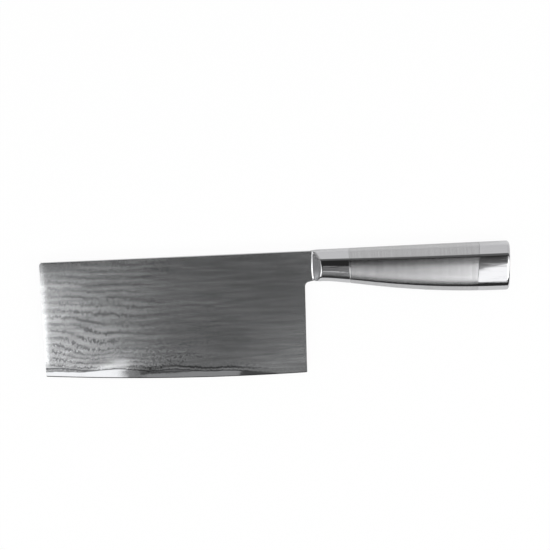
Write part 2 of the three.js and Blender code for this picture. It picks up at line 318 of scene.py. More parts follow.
# %% Curves of the bolster's nose
NOSE_FRONT = FRONT_X - 0.5
NOSE_SWEEP, NOSE_FILLET, LIP = 0.6, 1.5, 1.5
HEEL_X, SHOULDER_X = 169, 180
HEEL_DROP, LIP_DROP = 1.9, 0.8
SLANT_HEIGHTS = (-FRONT_HEIGHT, FRONT_LOW_CHAMFER - FRONT_HEIGHT, -FRONT_HEIGHT / 2,
                 -FRONT_TOP_CHAMFER, 0)
SLANT_BACK = (-1.6, -0.6, 0, 0, 1.5)


def low_share(y):
    """Share of the way from the middle of the handle's front to its underside."""
    return min(max(0, -2 * y / FRONT_HEIGHT - 1), 1)


def neck_drop(x):
    """How far the underside of the neck and of the lip hangs below the handle's."""
    return float(np.interp(x, (HEEL_X, FRONT_X, SHOULDER_X), (HEEL_DROP, LIP_DROP, 0)))


def nose_plan(y):
    """Front of the lip and slope of the slanting face, at height y."""
    front = NOSE_FRONT + NOSE_SWEEP * low_share(y) ** 2
    run, rise = NOSE_BACK - front, FRONT_WIDTH / 2 - LIP - NOSE_FILLET
    return front, atan2(rise, run) + asin(NOSE_FILLET / hypot(run, rise))


def on_slant(p):
    """Place of a point of the first section on the slanting face, whose ends curve a little."""
    front, slope = nose_plan(p.y)
    corner = front + NOSE_FILLET * tan(slope / 2)
    back = float(np.interp(p.y, SLANT_HEIGHTS, SLANT_BACK))
    return corner + (max(abs(p.z), 2 * LIP) - LIP) / tan(slope) + back, p.y, p.z


def on_fillet(share):
    """Rule that puts a point on the fillet: share 1 is where the slanting face starts."""
    def rule(p):
        front, slope = nose_plan(p.y)
        angle = share * slope
        z = LIP + NOSE_FILLET * (1 - cos(angle))
        return front + NOSE_FILLET * sin(angle), p.y, np.sign(round(p.z, 3)) * z
    return rule


def is_arris(p):
    """True on one of the eight long edges of the handle."""
    height, width, upper, lower = section_sizes(p.x)[:4]
    from_top = p.y > -height / 2
    chamfer, across = (upper, -p.y) if from_top else (lower, p.y + height)
    alike = lambda a, b: near(a, b, WIDE_SLACK)
    return (alike(across, 0) and alike(abs(p.z), width / 2 - chamfer)
            or alike(across, chamfer) and alike(abs(p.z), width / 2))


# %% [markdown]
# The front ring of the loft slides on to the slanting faces, and is then extruded three times, round
# the fillet to the lip. Edges that should stay crisp get a crease, which a later subdivision keeps.

# %% Bolster nose
ARRIS_CREASE, NOSE_CREASE, CORNER_CREASE, LIP_CREASE = 0.5, 0.42, 0.4, 0.8
FACE_GAP = 0.5

bpy.ops.object.mode_set(mode="EDIT")
pick("edges", is_arris, along=0)
bpy.ops.transform.edge_crease(value=ARRIS_CREASE)
pick("edges", lambda p: near(p.x, NOSE_BACK) and abs(p.z) > 2 * LIP)
bpy.ops.transform.edge_crease(value=NOSE_CREASE)
for low, high in ((-FRONT_TOP_CHAMFER, 0), (-FRONT_HEIGHT, FRONT_LOW_CHAMFER - FRONT_HEIGHT)):
    pick("edges", lambda p: near(p.x, NOSE_BACK) and abs(p.z) > 2 * LIP
         and low - WIDE_SLACK < p.y < high + WIDE_SLACK)
    bpy.ops.transform.edge_crease(value=CORNER_CREASE)
pick("edges", lambda p: near(p.x, NOSE_BACK))
move_selected(on_slant)
for share in (1, 0.5, 0):
    bpy.ops.mesh.extrude_edges_move()
    move_selected(on_fillet(share))
bpy.ops.transform.edge_crease(value=LIP_CREASE)
bpy.ops.mesh.edge_face_add()
ends = lambda p: near(p.y, 0) or near(p.y, -FRONT_HEIGHT)
pick("edges", lambda p: p.x < NOSE_BACK - FACE_GAP and ends(p) and abs(p.z) > LIP - SLACK)
bpy.ops.transform.edge_crease(value=LIP_CREASE)
pick("verts", lambda p: p.x < NOSE_BACK and p.y < -FRONT_HEIGHT / 2)
move_selected(lambda p: (p.x, p.y - neck_drop(p.x) * low_share(p.y), p.z))

# %% [markdown]
# The butt ends in a face that leans in towards its lower edge, with a soft round all the way about,
# and the seam in front of the cap leans more. All sections behind the bolster are sheared to suit.
# The last ring is drawn in and closed: the subdivision surface then rolls the corner over by
# itself, so no bevel is needed.

# %% Lean and butt end
BUTT_RAKE, SEAM_RAKE = 1.3, 2.4
SEAM_SLOPE = SEAM_RAKE / BUTT_HEIGHT


def leaning(p):
    """Place of a point of an upright section after the shear."""
    rake = float(np.interp(p.x, (front_seam, rear_seam, BUTT_X), (0, SEAM_RAKE, BUTT_RAKE)))
    return p.x + rake * p.y / BUTT_HEIGHT, p.y, p.z


pick("edges", lambda p: near(p.x, BUTT_X))
bpy.ops.mesh.extrude_edges_move()
inner = (1, 1 - 2 * END_ROUND / BUTT_HEIGHT, 1 - 2 * END_ROUND / BUTT_WIDTH)
bpy.ops.transform.resize(value=inner, center_override=at(BUTT_X, -BUTT_HEIGHT / 2, 0))
bpy.ops.mesh.edge_face_add()
pick("verts", lambda p: p.x > front_seam)
move_selected(leaning)
finish_piece()

# %% [markdown]
# The blank so far is a coarse cage. A subdivision surface turns it into the smooth skin that a
# mirror polish needs. The long edges stay crisp because they were creased, and the weight of the
# crease sets how round they are.

# %% Smooth skin
SKIN_LEVELS = 3
skin = blank.modifiers.new("smooth_skin", "SUBSURF")
skin.levels = skin.render_levels = SKIN_LEVELS
bpy.context.view_layer.objects.active = blank
bpy.ops.object.modifier_apply(modifier=skin.name)
print("smooth handle:", len(blank.data.polygons), "faces")

# %% [markdown]
# The blank is cut into the pieces that the real handle is welded from. Each end at a seam gets a
# fine bevel, which shows as the hairline between two pieces, and the grip's front end is eased over a
# little more. The bolster and the cap get a spigot that sits inside the grip. An extruded end that
# is scaled towards its middle makes all of these.

# %% Ends at the seams
JOINT_BEVEL, GRIP_WALL, FIT_GAP, SPIGOT_LENGTH, SPIGOT_WALL = 0.06, 1.2, 0.3, 8, 1.2
FRONT_EASE, FRONT_EASE_DEPTH = 0.6, 0.2


def shrink(x, before, after):
    """Draws the selected ring in from one inset to another, about the middle of the section."""
    height, width = section_sizes(x)[:2]
    factors = [(size - 2 * after) / (size - 2 * before) for size in (height, width)]
    bpy.ops.transform.resize(value=(1, *factors), center_override=at(x, -height / 2, 0))


def step_face(start_x, end_x, before, after):
    """Extrudes the selected end face along the handle and draws its outline in."""
    move = {"value": ((end_x - start_x) * MM, 0, 0)}
    bpy.ops.mesh.extrude_region_move(TRANSFORM_OT_translate=move)
    shrink(start_x, before, after)


# %% Bolster
bolster = copy_of(blank, "bolster_polished")
slice_at(at(front_seam - JOINT_BEVEL, 0, 0), (1, 0, 0), clear_outer=True, use_fill=True)
pick("faces", lambda p: near(p.x, front_seam - JOINT_BEVEL))
spigot_inset = GRIP_WALL + FIT_GAP
step_face(front_seam - JOINT_BEVEL, front_seam, 0, JOINT_BEVEL)
step_face(front_seam, front_seam, JOINT_BEVEL, spigot_inset)
step_face(front_seam, front_seam + SPIGOT_LENGTH, spigot_inset, spigot_inset)
finish_piece()

# %% [markdown]
# The blade's neck sits in a slot that is open at the top, the bottom and the front, and its tang
# passes through a narrower slot behind it. Both slots are straight, so two boxes cut them.

# %% Slots in the bolster
HALF_SLOT, SLOT_END_GAP, TANG_SHOULDER, CLEAR = 1.12, 0.05, 4.5, 12


def cut_box(piece, low, high):
    """Cuts a box between two knife places out of a piece."""
    cutter = start("slot_cutter", bpy.ops.mesh.primitive_cube_add, size=1)
    low, high = at(*low), at(*high)
    bpy.ops.transform.resize(value=high - low, center_override=(0, 0, 0))
    bpy.ops.transform.translate(value=(low + high) / 2)
    bpy.ops.object.mode_set(mode="OBJECT")
    cut = piece.modifiers.new("slot", "BOOLEAN")
    cut.operation, cut.object, cut.solver = "DIFFERENCE", cutter, "EXACT"
    bpy.context.view_layer.objects.active = piece
    bpy.ops.object.modifier_apply(modifier=cut.name)
    bpy.data.objects.remove(cutter)


cut_box(bolster, (FRONT_X - CLEAR, -FRONT_HEIGHT - CLEAR, -HALF_SLOT),
        (SHOULDER_X + SLOT_END_GAP, CLEAR, HALF_SLOT))
cut_box(bolster, (SHOULDER_X, TANG_SHOULDER - FRONT_HEIGHT - FIT_GAP, -HALF_SLOT),
        (front_seam + SPIGOT_LENGTH + CLEAR, FIT_GAP - TANG_SHOULDER, HALF_SLOT))
print("bolster:", len(bolster.data.polygons), "faces")

# %% [markdown]
# The grip is pressed from sheet in two halves, which are welded along the top and the bottom and
# ground flush. The middle of the blank is opened at both ends, given its wall by Solidify, and
# split down the middle.

# %% Grip halves
tube = copy_of(blank, "grip_tube")
slice_at(at(front_seam + FRONT_EASE, 0, 0), (1, 0, 0), clear_inner=True)
slice_at(at(rear_seam - JOINT_BEVEL, 0, 0), (1, -SEAM_SLOPE, 0), clear_outer=True)
for seam, length, depth, slope in ((front_seam, FRONT_EASE, FRONT_EASE_DEPTH, 0),
                                   (rear_seam, -JOINT_BEVEL, JOINT_BEVEL, SEAM_SLOPE)):
    pick("edges", lambda p: near(p.x - slope * p.y, seam + length))
    bpy.ops.mesh.extrude_edges_move(TRANSFORM_OT_translate={"value": (-length * MM, 0, 0)})
    shrink(seam, 0, depth)
finish_piece()
wall = tube.modifiers.new("wall", "SOLIDIFY")
wall.thickness, wall.offset = GRIP_WALL * MM, -1
bpy.ops.object.modifier_apply(modifier=wall.name)

halves = []
for name, facing in (("left_grip_brushed", 1), ("right_grip_brushed", -1)):
    halves.append(copy_of(tube, name))
    slice_at(at(0, 0, 0), (0, 0, facing), clear_inner=True, use_fill=True)
    bpy.ops.object.mode_set(mode="OBJECT")
bpy.data.objects.remove(tube)
left_grip, right_grip = halves
print("grip half:", len(left_grip.data.polygons), "faces")

# %% [markdown]
# The cap is the rear of the blank. Its front steps in to a spigot, and the spigot is hollow to a
# thick end wall, which puts some weight at the butt.

# %% Butt cap
CAP_END_WALL = 4
cap = copy_of(blank, "butt_cap_polished")
slice_at(at(rear_seam + JOINT_BEVEL, 0, 0), (1, -SEAM_SLOPE, 0), clear_inner=True, use_fill=True)
pick("faces", lambda p: near(p.x - SEAM_SLOPE * p.y, rear_seam + JOINT_BEVEL))
spigot_x = rear_seam - SPIGOT_LENGTH
cavity_inset = spigot_inset + SPIGOT_WALL
step_face(rear_seam + JOINT_BEVEL, rear_seam, 0, JOINT_BEVEL)
step_face(rear_seam, rear_seam, JOINT_BEVEL, spigot_inset)
step_face(rear_seam, spigot_x, spigot_inset, spigot_inset)
step_face(spigot_x, spigot_x, spigot_inset, cavity_inset)
step_face(spigot_x, BUTT_X - CAP_END_WALL, cavity_inset, cavity_inset)
bpy.ops.object.mode_set(mode="OBJECT")
bpy.data.objects.remove(blank)
print("butt cap:", len(cap.data.polygons), "faces")

# %% [markdown]
# The three layers of the blade share one outline: a tall plate with a curved edge, a neck that
# goes into the bolster, and a tang. A box is stretched to the plate, the neck and the tang are
# extruded from its heel, and the corners are bevelled round. Cuts across the plate then give it
# the columns of points that its curved edge needs. The heel leans back a little at its top, and the
# underside of the neck slopes up to the lip of the bolster.

# %% Blade outline
TANG_X = 214
TIP_HEIGHT, BLADE_HEIGHT, BELLY_X = 76.3, 81.7, 130
NECK_FILLET, TIP_SPINE_RADIUS, TIP_EDGE_RADIUS, HEEL_RADIUS = 2.6, 2, 1.5, 1.2
HEEL_LEAN, LEAN_RUN = 1.0, 15
TIP_COLUMNS, FIRST_COLUMN, COLUMN_STEP = (0.7, 1.4, 2.2), 3, 1.3
HAIR = 0.01


def round_corner(x, y, radius, segments):
    """Rounds the upright corner of a plate at x and y."""
    pick("edges", lambda p: near(p.x, x) and near(p.y, y))
    bpy.ops.mesh.bevel(offset=radius * MM, offset_type="OFFSET", segments=segments, affect="EDGES")


def heel_shape(p):
    """Place of a point of the plate once the heel leans back and the neck's underside slopes."""
    if p.y > -FRONT_HEIGHT + HAIR:
        return p
    lean = HEEL_LEAN * float(np.interp(p.x, (HEEL_X - LEAN_RUN, HEEL_X, FRONT_X), (0, 1, 0)))
    lean *= float(np.interp(p.y, (-BLADE_HEIGHT, -FRONT_HEIGHT), (0, 1)))
    on_neck = p.x > HEEL_X - HAIR and p.y > -FRONT_HEIGHT - NECK_FILLET - HAIR
    return Vector((p.x + lean, p.y - (neck_drop(p.x) if on_neck else 0), p.z))


def blade_plate(name, depth, low_z, high_z, row_heights):
    """A flat layer of the blade, with columns across it and rows above its lower edge."""
    plate = start(name, bpy.ops.mesh.primitive_cube_add, size=1)
    low, high = at(0, -depth, low_z), at(HEEL_X, 0, high_z)
    bpy.ops.transform.resize(value=high - low, center_override=(0, 0, 0))
    bpy.ops.transform.translate(value=(low + high) / 2)
    slice_at(at(0, -FRONT_HEIGHT, 0), (0, 1, 0))
    pick("faces", lambda p: near(p.x, HEEL_X) and p.y > -FRONT_HEIGHT - WIDE_SLACK)
    bpy.ops.mesh.extrude_region_move(
        TRANSFORM_OT_translate={"value": ((SHOULDER_X - HEEL_X) * MM, 0, 0)})
    tang_low, tang_high = TANG_SHOULDER - FRONT_HEIGHT, -TANG_SHOULDER
    slice_at(at(0, tang_low, 0), (0, 1, 0))
    slice_at(at(0, tang_high, 0), (0, 1, 0))
    pick("faces", lambda p: near(p.x, SHOULDER_X)
         and tang_low - WIDE_SLACK < p.y < tang_high + WIDE_SLACK)
    bpy.ops.mesh.extrude_region_move(
        TRANSFORM_OT_translate={"value": ((TANG_X - SHOULDER_X) * MM, 0, 0)})
    bpy.ops.mesh.select_all(action="SELECT")
    bpy.ops.mesh.dissolve_limited(angle_limit=radians(1))
    round_corner(HEEL_X, -FRONT_HEIGHT, NECK_FILLET, 8)
    round_corner(0, 0, TIP_SPINE_RADIUS, 6)
    columns = np.arange(FIRST_COLUMN, HEEL_X - COLUMN_STEP, COLUMN_STEP)
    for x in (*TIP_COLUMNS, *columns, FRONT_X):
        slice_at(at(x, 0, 0), (1, 0, 0))
    for height in row_heights:
        slice_at(at(0, height - depth, 0), (0, 1, 0))
    return plate


# %% [markdown]
# The core shows along the edge, where grinding has gone right through the cladding. Its upper
# limit wanders, because forging never leaves a layer quite flat: a slow wave, some finer ripples, a
# dip at the tip, and a taper towards the heel, where the grind is narrower.

# %% Curves of the blade
CORE_HALF = 0.35
CORE_REVEAL, CORE_REVEAL_HEEL, REVEAL_END = 5.4, 0.6, 150
REVEAL_WAVE, REVEAL_WAVE_LENGTH = 0.6, 38
TAPER_POWER, HEEL_CALM = 4.5, 0.8
RIPPLES, RIPPLE_ROW = ((0.3, 3.1, 0.4), (0.2, 1.3, 5.2)), 0.7
TIP_DIP, DIP_START, DIP_END = 2.4, 14, 34
BEVEL_HEIGHT, BEVEL_HEEL, BEVEL_HALF, EDGE_HALF = 0.6, 0.3, 0.15, 0.02
GRIND_HEIGHT, CORE_TUCK = 10, 0.2


def edge_y(x):
    """Height of the cutting edge at x, lowest at the belly."""
    return (BLADE_HEIGHT - TIP_HEIGHT) * ((x - BELLY_X) / BELLY_X) ** 2 - BLADE_HEIGHT


def towards_heel(x):
    """Share of the change from the tip to the heel that the grind has made at x."""
    return min(max(x, 0) / REVEAL_END, 1) ** TAPER_POWER


def bare_height(x):
    """Height of the bare core above the edge at x."""
    fade = towards_heel(x)
    uneven = sum(depth * noise.noise((x / length, place, RIPPLE_ROW))
                 for depth, length, place in RIPPLES)
    wave = REVEAL_WAVE * sin(2 * pi * x / REVEAL_WAVE_LENGTH)
    dip = float(np.interp(x, (DIP_START, DIP_END), (TIP_DIP, 0)))
    return mix(CORE_REVEAL + wave - dip, CORE_REVEAL_HEEL, fade) + uneven * (1 - HEEL_CALM * fade)


# %% [markdown]
# The core starts as a flat plate. Its lower rows of points then move to where the grinding leaves
# them: the edge, the top of the fine edge bevel, and the limit of the bare core, a little of which is
# tucked under the cladding.

# %% Blade core
core = blade_plate("core_ground", BLADE_HEIGHT, -CORE_HALF, CORE_HALF, (BEVEL_HEIGHT, CORE_REVEAL))
round_corner(0, -BLADE_HEIGHT, TIP_EDGE_RADIUS, 5)
round_corner(HEEL_X, -BLADE_HEIGHT, HEEL_RADIUS, 4)


def ground_core(p):
    """Place of a point of the flat core plate after grinding."""
    height = p.y + BLADE_HEIGHT
    if height > CORE_REVEAL + HAIR:
        return heel_shape(p)
    bare, bevel = bare_height(p.x), mix(BEVEL_HEIGHT, BEVEL_HEEL, towards_heel(p.x))
    height = float(np.interp(height, (0, BEVEL_HEIGHT, CORE_REVEAL), (0, bevel, bare + CORE_TUCK)))
    half = float(np.interp(height, (0, bevel, bare), (EDGE_HALF, BEVEL_HALF, CORE_HALF)))
    return p.x, edge_y(p.x) + height, np.sign(p.z) * half


bpy.ops.mesh.select_all(action="SELECT")
move_selected(ground_core)
finish_piece()
print("core:", len(core.data.polygons), "faces")

# %% [markdown]
# The cladding is one flat taper from the spine almost to the edge. Over the last centimetre the
# grind rolls it gently down to the core, and a polishing wheel has rolled it over a little at the
# tip. The right cladding is the mirror image of the left one.

# %% Claddings
SPINE_HALF, LIP_HALF, SPINE_EASE, EDGE_SKIN = 1.1, 0.37, 0.5, 0.05
TIP_ROLL, TIP_ROLL_SHARE = 3.6, 0.5
CLAD_DEPTH = BLADE_HEIGHT - CORE_REVEAL
GRIND_ROWS = 3
row_step = (GRIND_HEIGHT - CORE_REVEAL) / GRIND_ROWS


def taper_half(y):
    """Half of the blade's thickness at height y, before the last centimetre is ground."""
    return mix(SPINE_HALF, CORE_HALF + EDGE_SKIN, -y / BLADE_HEIGHT)


def ground_cladding(p):
    """Place of a point of the flat cladding plate after grinding."""
    p = heel_shape(p)
    height, edge, bare = p.y + CLAD_DEPTH, edge_y(p.x), bare_height(p.x)
    y = p.y
    if height < GRIND_HEIGHT - CORE_REVEAL + HAIR:
        y = edge + mix(bare, GRIND_HEIGHT, height / (GRIND_HEIGHT - CORE_REVEAL))
    if p.z < CORE_HALF + HAIR:
        return p.x, y, p.z
    ground = min(max(0, (GRIND_HEIGHT - (y - edge)) / (GRIND_HEIGHT - bare)), 1)
    half = taper_half(y) - (taper_half(edge + bare) - LIP_HALF) * ground**2
    roll = max(0, 1 - p.x / TIP_ROLL) ** 2
    return p.x, y, half - TIP_ROLL_SHARE * roll * (half - LIP_HALF)


left_cladding = blade_plate("left_cladding_layered", CLAD_DEPTH, CORE_HALF, SPINE_HALF,
                            [row_step * (i + 1) for i in range(GRIND_ROWS)])
bpy.ops.mesh.select_all(action="SELECT")
move_selected(ground_cladding)
pick("edges", lambda p: near(p.y, 0) and p.z > CORE_HALF + WIDE_SLACK
     and p.x < FRONT_X + WIDE_SLACK, along=0)
bpy.ops.mesh.bevel(offset=SPINE_EASE * MM, offset_type="OFFSET", segments=2, affect="EDGES")
finish_piece()

right_cladding = copy_of(left_cladding, "right_cladding_layered")
bpy.ops.mesh.select_all(action="SELECT")
bpy.ops.transform.resize(value=(1, 1, -1), center_override=at(0, 0, 0))
finish_piece()

# %% [markdown]
# The layers of the steel follow the core, so each point of the cladding keeps its height above the
# core in an attribute, from which the pattern is made later.

# %% Height above the core
for cladding in (left_cladding, right_cladding):
    above = cladding.data.attributes.new("above_core", "FLOAT", "POINT")
    places = [on_knife(v.co) for v in cladding.data.vertices]
    above.data.foreach_set("value", [p.y - edge_y(p.x) - bare_height(p.x) for p in places])
print("cladding:", len(left_cladding.data.polygons), "faces")

# %% [markdown]
# Flat facets stay flat and curved skins are shaded smooth. The blade's facets meet at very small
# angles, so its limit is far lower than that of the handle.

# %% Shading
BLADE_ANGLE, HANDLE_ANGLE = radians(3), radians(30)
blade_pieces = (core, left_cladding, right_cladding)
handle_pieces = (bolster, left_grip, right_grip, cap)
for pieces, angle in ((blade_pieces, BLADE_ANGLE), (handle_pieces, HANDLE_ANGLE)):
    for piece in pieces:
        bpy.ops.object.select_all(action="DESELECT")
        piece.select_set(True)
        bpy.context.view_layer.objects.active = piece
        bpy.ops.object.shade_smooth_by_angle(angle=angle)

# %% [markdown]
# All four finishes are bare steel. They differ in how smooth the surface is and in which way its
# marks run, so each one is a metal shader with its own roughness and marks. One function adds a
# node, and one sets the size of a pattern's grain in millimetres on the steel. A range is written
# as four numbers: from, to, the value at the first and the value at the second.

# %% Helpers for materials


def linear(code):
    """Linear colour of an sRGB hex code."""
    parts = [int(code[i:i + 2], 16) / 255 for i in (1, 3, 5)]
    return (*[c / 12.92 if c < 0.04045 else ((c + 0.055) / 1.055) ** 2.4 for c in parts], 1)


def empty_tree(owner):
    """The emptied node tree of a material or of the room."""
    owner.use_nodes = True
    owner.node_tree.nodes.clear()
    return owner.node_tree


def set_inputs(tree, made, inputs):
    """Sets a node's inputs to constants, or links them to other nodes."""
    for key, value in inputs.items():
        if isinstance(value, bpy.types.NodeSocket):
            tree.links.new(value, made.inputs[key])
        else:
            made.inputs[key].default_value = value


def node(tree, kind, inputs=None, **settings):
    """Adds a node with its settings and inputs, and returns its output."""
    made = tree.nodes.new("ShaderNode" + kind)
    for name, value in settings.items():
        setattr(made, name, value)
    set_inputs(tree, made, inputs or {})
    return next((output for output in made.outputs if output.enabled), None)


def grain(tree, x, y, z, **inputs):
    """Noise whose grain measures x by y by z millimetres on the piece."""
    place = tree.nodes.new("ShaderNodeTexCoord").outputs["Object"]
    scaled = node(tree, "Mapping", {"Vector": place, "Scale": [1 / (s * MM) for s in (x, y, z)]})
    return node(tree, "TexNoise", {"Vector": scaled, "Scale": 1, **inputs})


def ranged(tree, value, low, high, new_low, new_high, **settings):
    """Carries a value from one range to another, without leaving it."""
    ends = {"From Min": low, "From Max": high, "To Min": new_low, "To Max": new_high}
    return node(tree, "MapRange", {"Value": value, **ends}, **settings)


def math(tree, operation, first, *others):
    """Joins two or more values by one operation, from left to right."""
    for other in others:
        first = node(tree, "Math", {0: first, 1: other}, operation=operation)
    return first


def overlap(tree, *ranges):
    """Product of several ranges, each given after the value that it reads."""
    return math(tree, "MULTIPLY", *[ranged(tree, value, *ends) for value, ends in ranges])


def mix_colours(tree, share, first, second):
    """A colour that goes from one hex code or colour to another with a share."""
    first, second = [linear(c) if isinstance(c, str) else c for c in (first, second)]
    return node(tree, "Mix", {0: share, 6: first, 7: second}, data_type="RGBA")


def axes(tree, coordinate="Object"):
    """The x, y and z of a place on the piece, or of a direction in the room."""
    node(tree, "SeparateXYZ", {0: tree.nodes.new("ShaderNodeTexCoord").outputs[coordinate]})
    return tree.nodes[-1].outputs


def bump(tree, marks, depth, **settings):
    """Surface that marks of a depth in millimetres stand out of, or sink into if inverted."""
    return node(tree, "Bump", {"Height": marks, "Distance": depth * MM}, **settings)


def new_material(name):
    """A material with an empty tree and a metal shader."""
    material = bpy.data.materials.new(name)
    tree = empty_tree(material)
    shader = tree.nodes.new("ShaderNodeBsdfPrincipled")
    shader.inputs["Metallic"].default_value = 1
    node(tree, "OutputMaterial", {"Surface": shader.outputs[0]})
    return material, tree, shader


# %% [markdown]
# The bolster and the cap are buffed to a mirror along the handle. Buffing leaves very fine, long
# traces, which only show where a bright edge is mirrored.

# %% Polished steel
BUFF_GRAIN, BUFF_DEPTH, BUFF_ROUGHNESS = (16, 0.8, 0.8), 0.0015, (0.5, 0.72, 0.05, 0.2)
polished, tree, shader = new_material("mirror_polished_stainless_steel")
traces = grain(tree, *BUFF_GRAIN, Detail=2.0)
set_inputs(tree, shader, {"Base Color": linear("#C0C0C2"),
                          "Roughness": ranged(tree, traces, *BUFF_ROUGHNESS),
                          "Normal": bump(tree, traces, BUFF_DEPTH)})

# %% [markdown]
# The grip is brushed across, from the spine side to the belly. The scratches spread a highlight
# along the handle, which is what makes satin steel look soft, so the shader is anisotropic with its
# tangent along the handle. A brush never cuts evenly, so faint bands run across as well.

# %% Brushed steel
SCRATCH_GRAIN, SCRATCH_DEPTH, SCRATCH_ROUGHNESS = (0.22, 26, 26), 0.0007, (0.3, 0.7, 0.18, 0.24)
STROKE_GRAIN, STROKES = (1.1, 40, 40), (0.3, 0.7, 0, 1)
brushed, tree, shader = new_material("satin_brushed_stainless_steel")
scratches = grain(tree, *SCRATCH_GRAIN, Detail=2.0)
strokes = ranged(tree, grain(tree, *STROKE_GRAIN, Detail=3.0), *STROKES)
set_inputs(tree, shader, {"Base Color": mix_colours(tree, strokes, "#B0B0B1", "#B8B8B9"),
                          "Roughness": ranged(tree, scratches, *SCRATCH_ROUGHNESS),
                          "Anisotropic": 1.0,
                          "Tangent": node(tree, "CombineXYZ", {"X": 1.0, "Y": 0.0, "Z": 0.0}),
                          "Normal": bump(tree, scratches, SCRATCH_DEPTH)})

# %% [markdown]
# The core is the hardest steel and takes a fine polish. The stones that grind it run across the
# edge, so its marks do too.

# %% Core steel
STONE_GRAIN, STONE_DEPTH, STONE_ROUGHNESS = (0.25, 9, 9), 0.0007, (0.3, 0.7, 0.03, 0.06)
core_steel, tree, shader = new_material("fine_ground_core_steel")
stone_marks = grain(tree, *STONE_GRAIN, Detail=2.0)
set_inputs(tree, shader, {"Base Color": linear("#BEBFC1"),
                          "Roughness": ranged(tree, stone_marks, *STONE_ROUGHNESS),
                          "Normal": bump(tree, stone_marks, STONE_DEPTH)})

# %% [markdown]
# The cladding is forged from many thin layers of two steels. Grinding cuts through them at a slant
# and acid bites one steel deeper, so the layers show as contour lines that follow the core. The lines
# are levels of a height field: the height above the core, bent down by a fold behind the tip, where
# the hammer sank the layers, and made uneven by a slow wave and by fine teeth.

# %% Layered steel: height field
FOLD_DEPTH, FOLD_TROUGH, FOLD_END, FOLD_LEFT = 9.4, 38, 75, 0.85
FOLD_BEGINS, FOLD_BELOW, FOLD_ABOVE = (16, 32, 3, 18), (0, 13, 0, 1), (17, 42, 1, 0.3)
WAVE_GRAIN, WAVE_SIZE = (36, 22, 22), (0.2, 0.8, -2.2, 2.2)
WAVE_BELOW, WAVE_TIP = (0, 12, 0, 1), (30, 75, 0.35, 1)
TOOTH_GRAIN, TOOTH_SIZE = (0.95, 9, 9), (0.25, 0.75, -0.6, 0.6)
ZIGZAG_WIDTH, ZIGZAG_SIZE = 0.85, (0, 1, -0.3, 0.3)
SHIFT_GRAIN, SHIFT_SIZE = (4, 6, 6), 8.0

layered, tree, shader = new_material("etched_layered_steel")
node(tree, "Attribute", attribute_name="above_core")
height = tree.nodes[-1].outputs["Fac"]
along, across, _ = axes(tree)
behind_tip = math(tree, "DIVIDE", math(tree, "SUBTRACT", along, cad_low.x), MM)
below_spine = math(tree, "DIVIDE", math(tree, "SUBTRACT", cad_high.y, across), MM)

soft = {"interpolation_type": "SMOOTHSTEP"}
fold_begins = ranged(tree, height, *FOLD_BEGINS)
sinking = ranged(tree, behind_tip, fold_begins, FOLD_TROUGH, 0, FOLD_DEPTH, **soft)
rising = ranged(tree, behind_tip, FOLD_TROUGH, FOLD_END, 1, FOLD_LEFT, **soft)
fold_rows = overlap(tree, (height, FOLD_BELOW), (height, FOLD_ABOVE))
fold = math(tree, "MULTIPLY", sinking, rising, fold_rows)
wave = overlap(tree, (grain(tree, *WAVE_GRAIN, Detail=1.0), WAVE_SIZE), (height, WAVE_BELOW),
               (behind_tip, WAVE_TIP))
shift = math(tree, "MULTIPLY", grain(tree, *SHIFT_GRAIN, Detail=1.0), SHIFT_SIZE)
zigzag = math(tree, "ADD", math(tree, "DIVIDE", behind_tip, ZIGZAG_WIDTH), shift)
zigzag = ranged(tree, math(tree, "PINGPONG", zigzag, 1.0), *ZIGZAG_SIZE)
teeth = ranged(tree, grain(tree, *TOOTH_GRAIN, Detail=0.0), *TOOTH_SIZE)
teeth = math(tree, "ADD", teeth, zigzag)
level = math(tree, "ADD", height, fold, wave, teeth)

# %% [markdown]
# Each line is a band round one level, with a ragged rim, and finer lines lie between. Use and wiping
# have worn them towards the heel, except close to the core, a little high on the blade, and at the
# very tip. A buffing wheel has taken them off one spot above the core.

# %% Layered steel: lines
RAGGED_GRAIN, RAGGED_SIZE = (1.1, 1.8, 1.8), (0.3, 0.7, -0.17, 0.17)
LINE_SPACING, LINE_BAND = 4.65, (0.07, 0.25, 1, 0)
FINE_SPACING, FINE_BAND = 1.55, (0.05, 0.3, 0.25, 0)
STRENGTH_GRAIN, STRENGTH = (14, 5, 5), (0.35, 0.55, 0.6, 1)
STRENGTH_ABOVE, STRENGTH_TIP = (25, 60, 1, 0.65), (2, 6, 0.2, 1)
REAR_FADE, BY_CORE, WORN = (130, 150, 1, 0.2), (2, 7, 1, 0), (35, 100, 1, 0.18)
BUFFED_FROM, BUFFED_TO, BUFFED_BELOW = (30, 38, 0, 1), (52, 60, 1, 0), (5.5, 9, 0.8, 0)

ragged = ranged(tree, grain(tree, *RAGGED_GRAIN, Detail=1.0), *RAGGED_SIZE)
bands = []
for spacing, band in ((LINE_SPACING, LINE_BAND), (FINE_SPACING, FINE_BAND)):
    off_line = math(tree, "PINGPONG", math(tree, "DIVIDE", level, spacing), 0.5)
    bands.append(ranged(tree, math(tree, "ADD", off_line, ragged), *band))
strength = overlap(tree, (grain(tree, *STRENGTH_GRAIN, Detail=3.0), STRENGTH),
                   (height, STRENGTH_ABOVE), (behind_tip, STRENGTH_TIP))
rear_fade = ranged(tree, behind_tip, *REAR_FADE)
by_core = math(tree, "MULTIPLY", ranged(tree, height, *BY_CORE), rear_fade)
left_by_wear = math(tree, "MAXIMUM", by_core, ranged(tree, behind_tip, *WORN))
buffed = overlap(tree, (behind_tip, BUFFED_FROM), (behind_tip, BUFFED_TO), (height, BUFFED_BELOW))
unbuffed = math(tree, "SUBTRACT", 1.0, buffed)
lines = math(tree, "MULTIPLY", math(tree, "MAXIMUM", *bands), strength, left_by_wear, unbuffed)

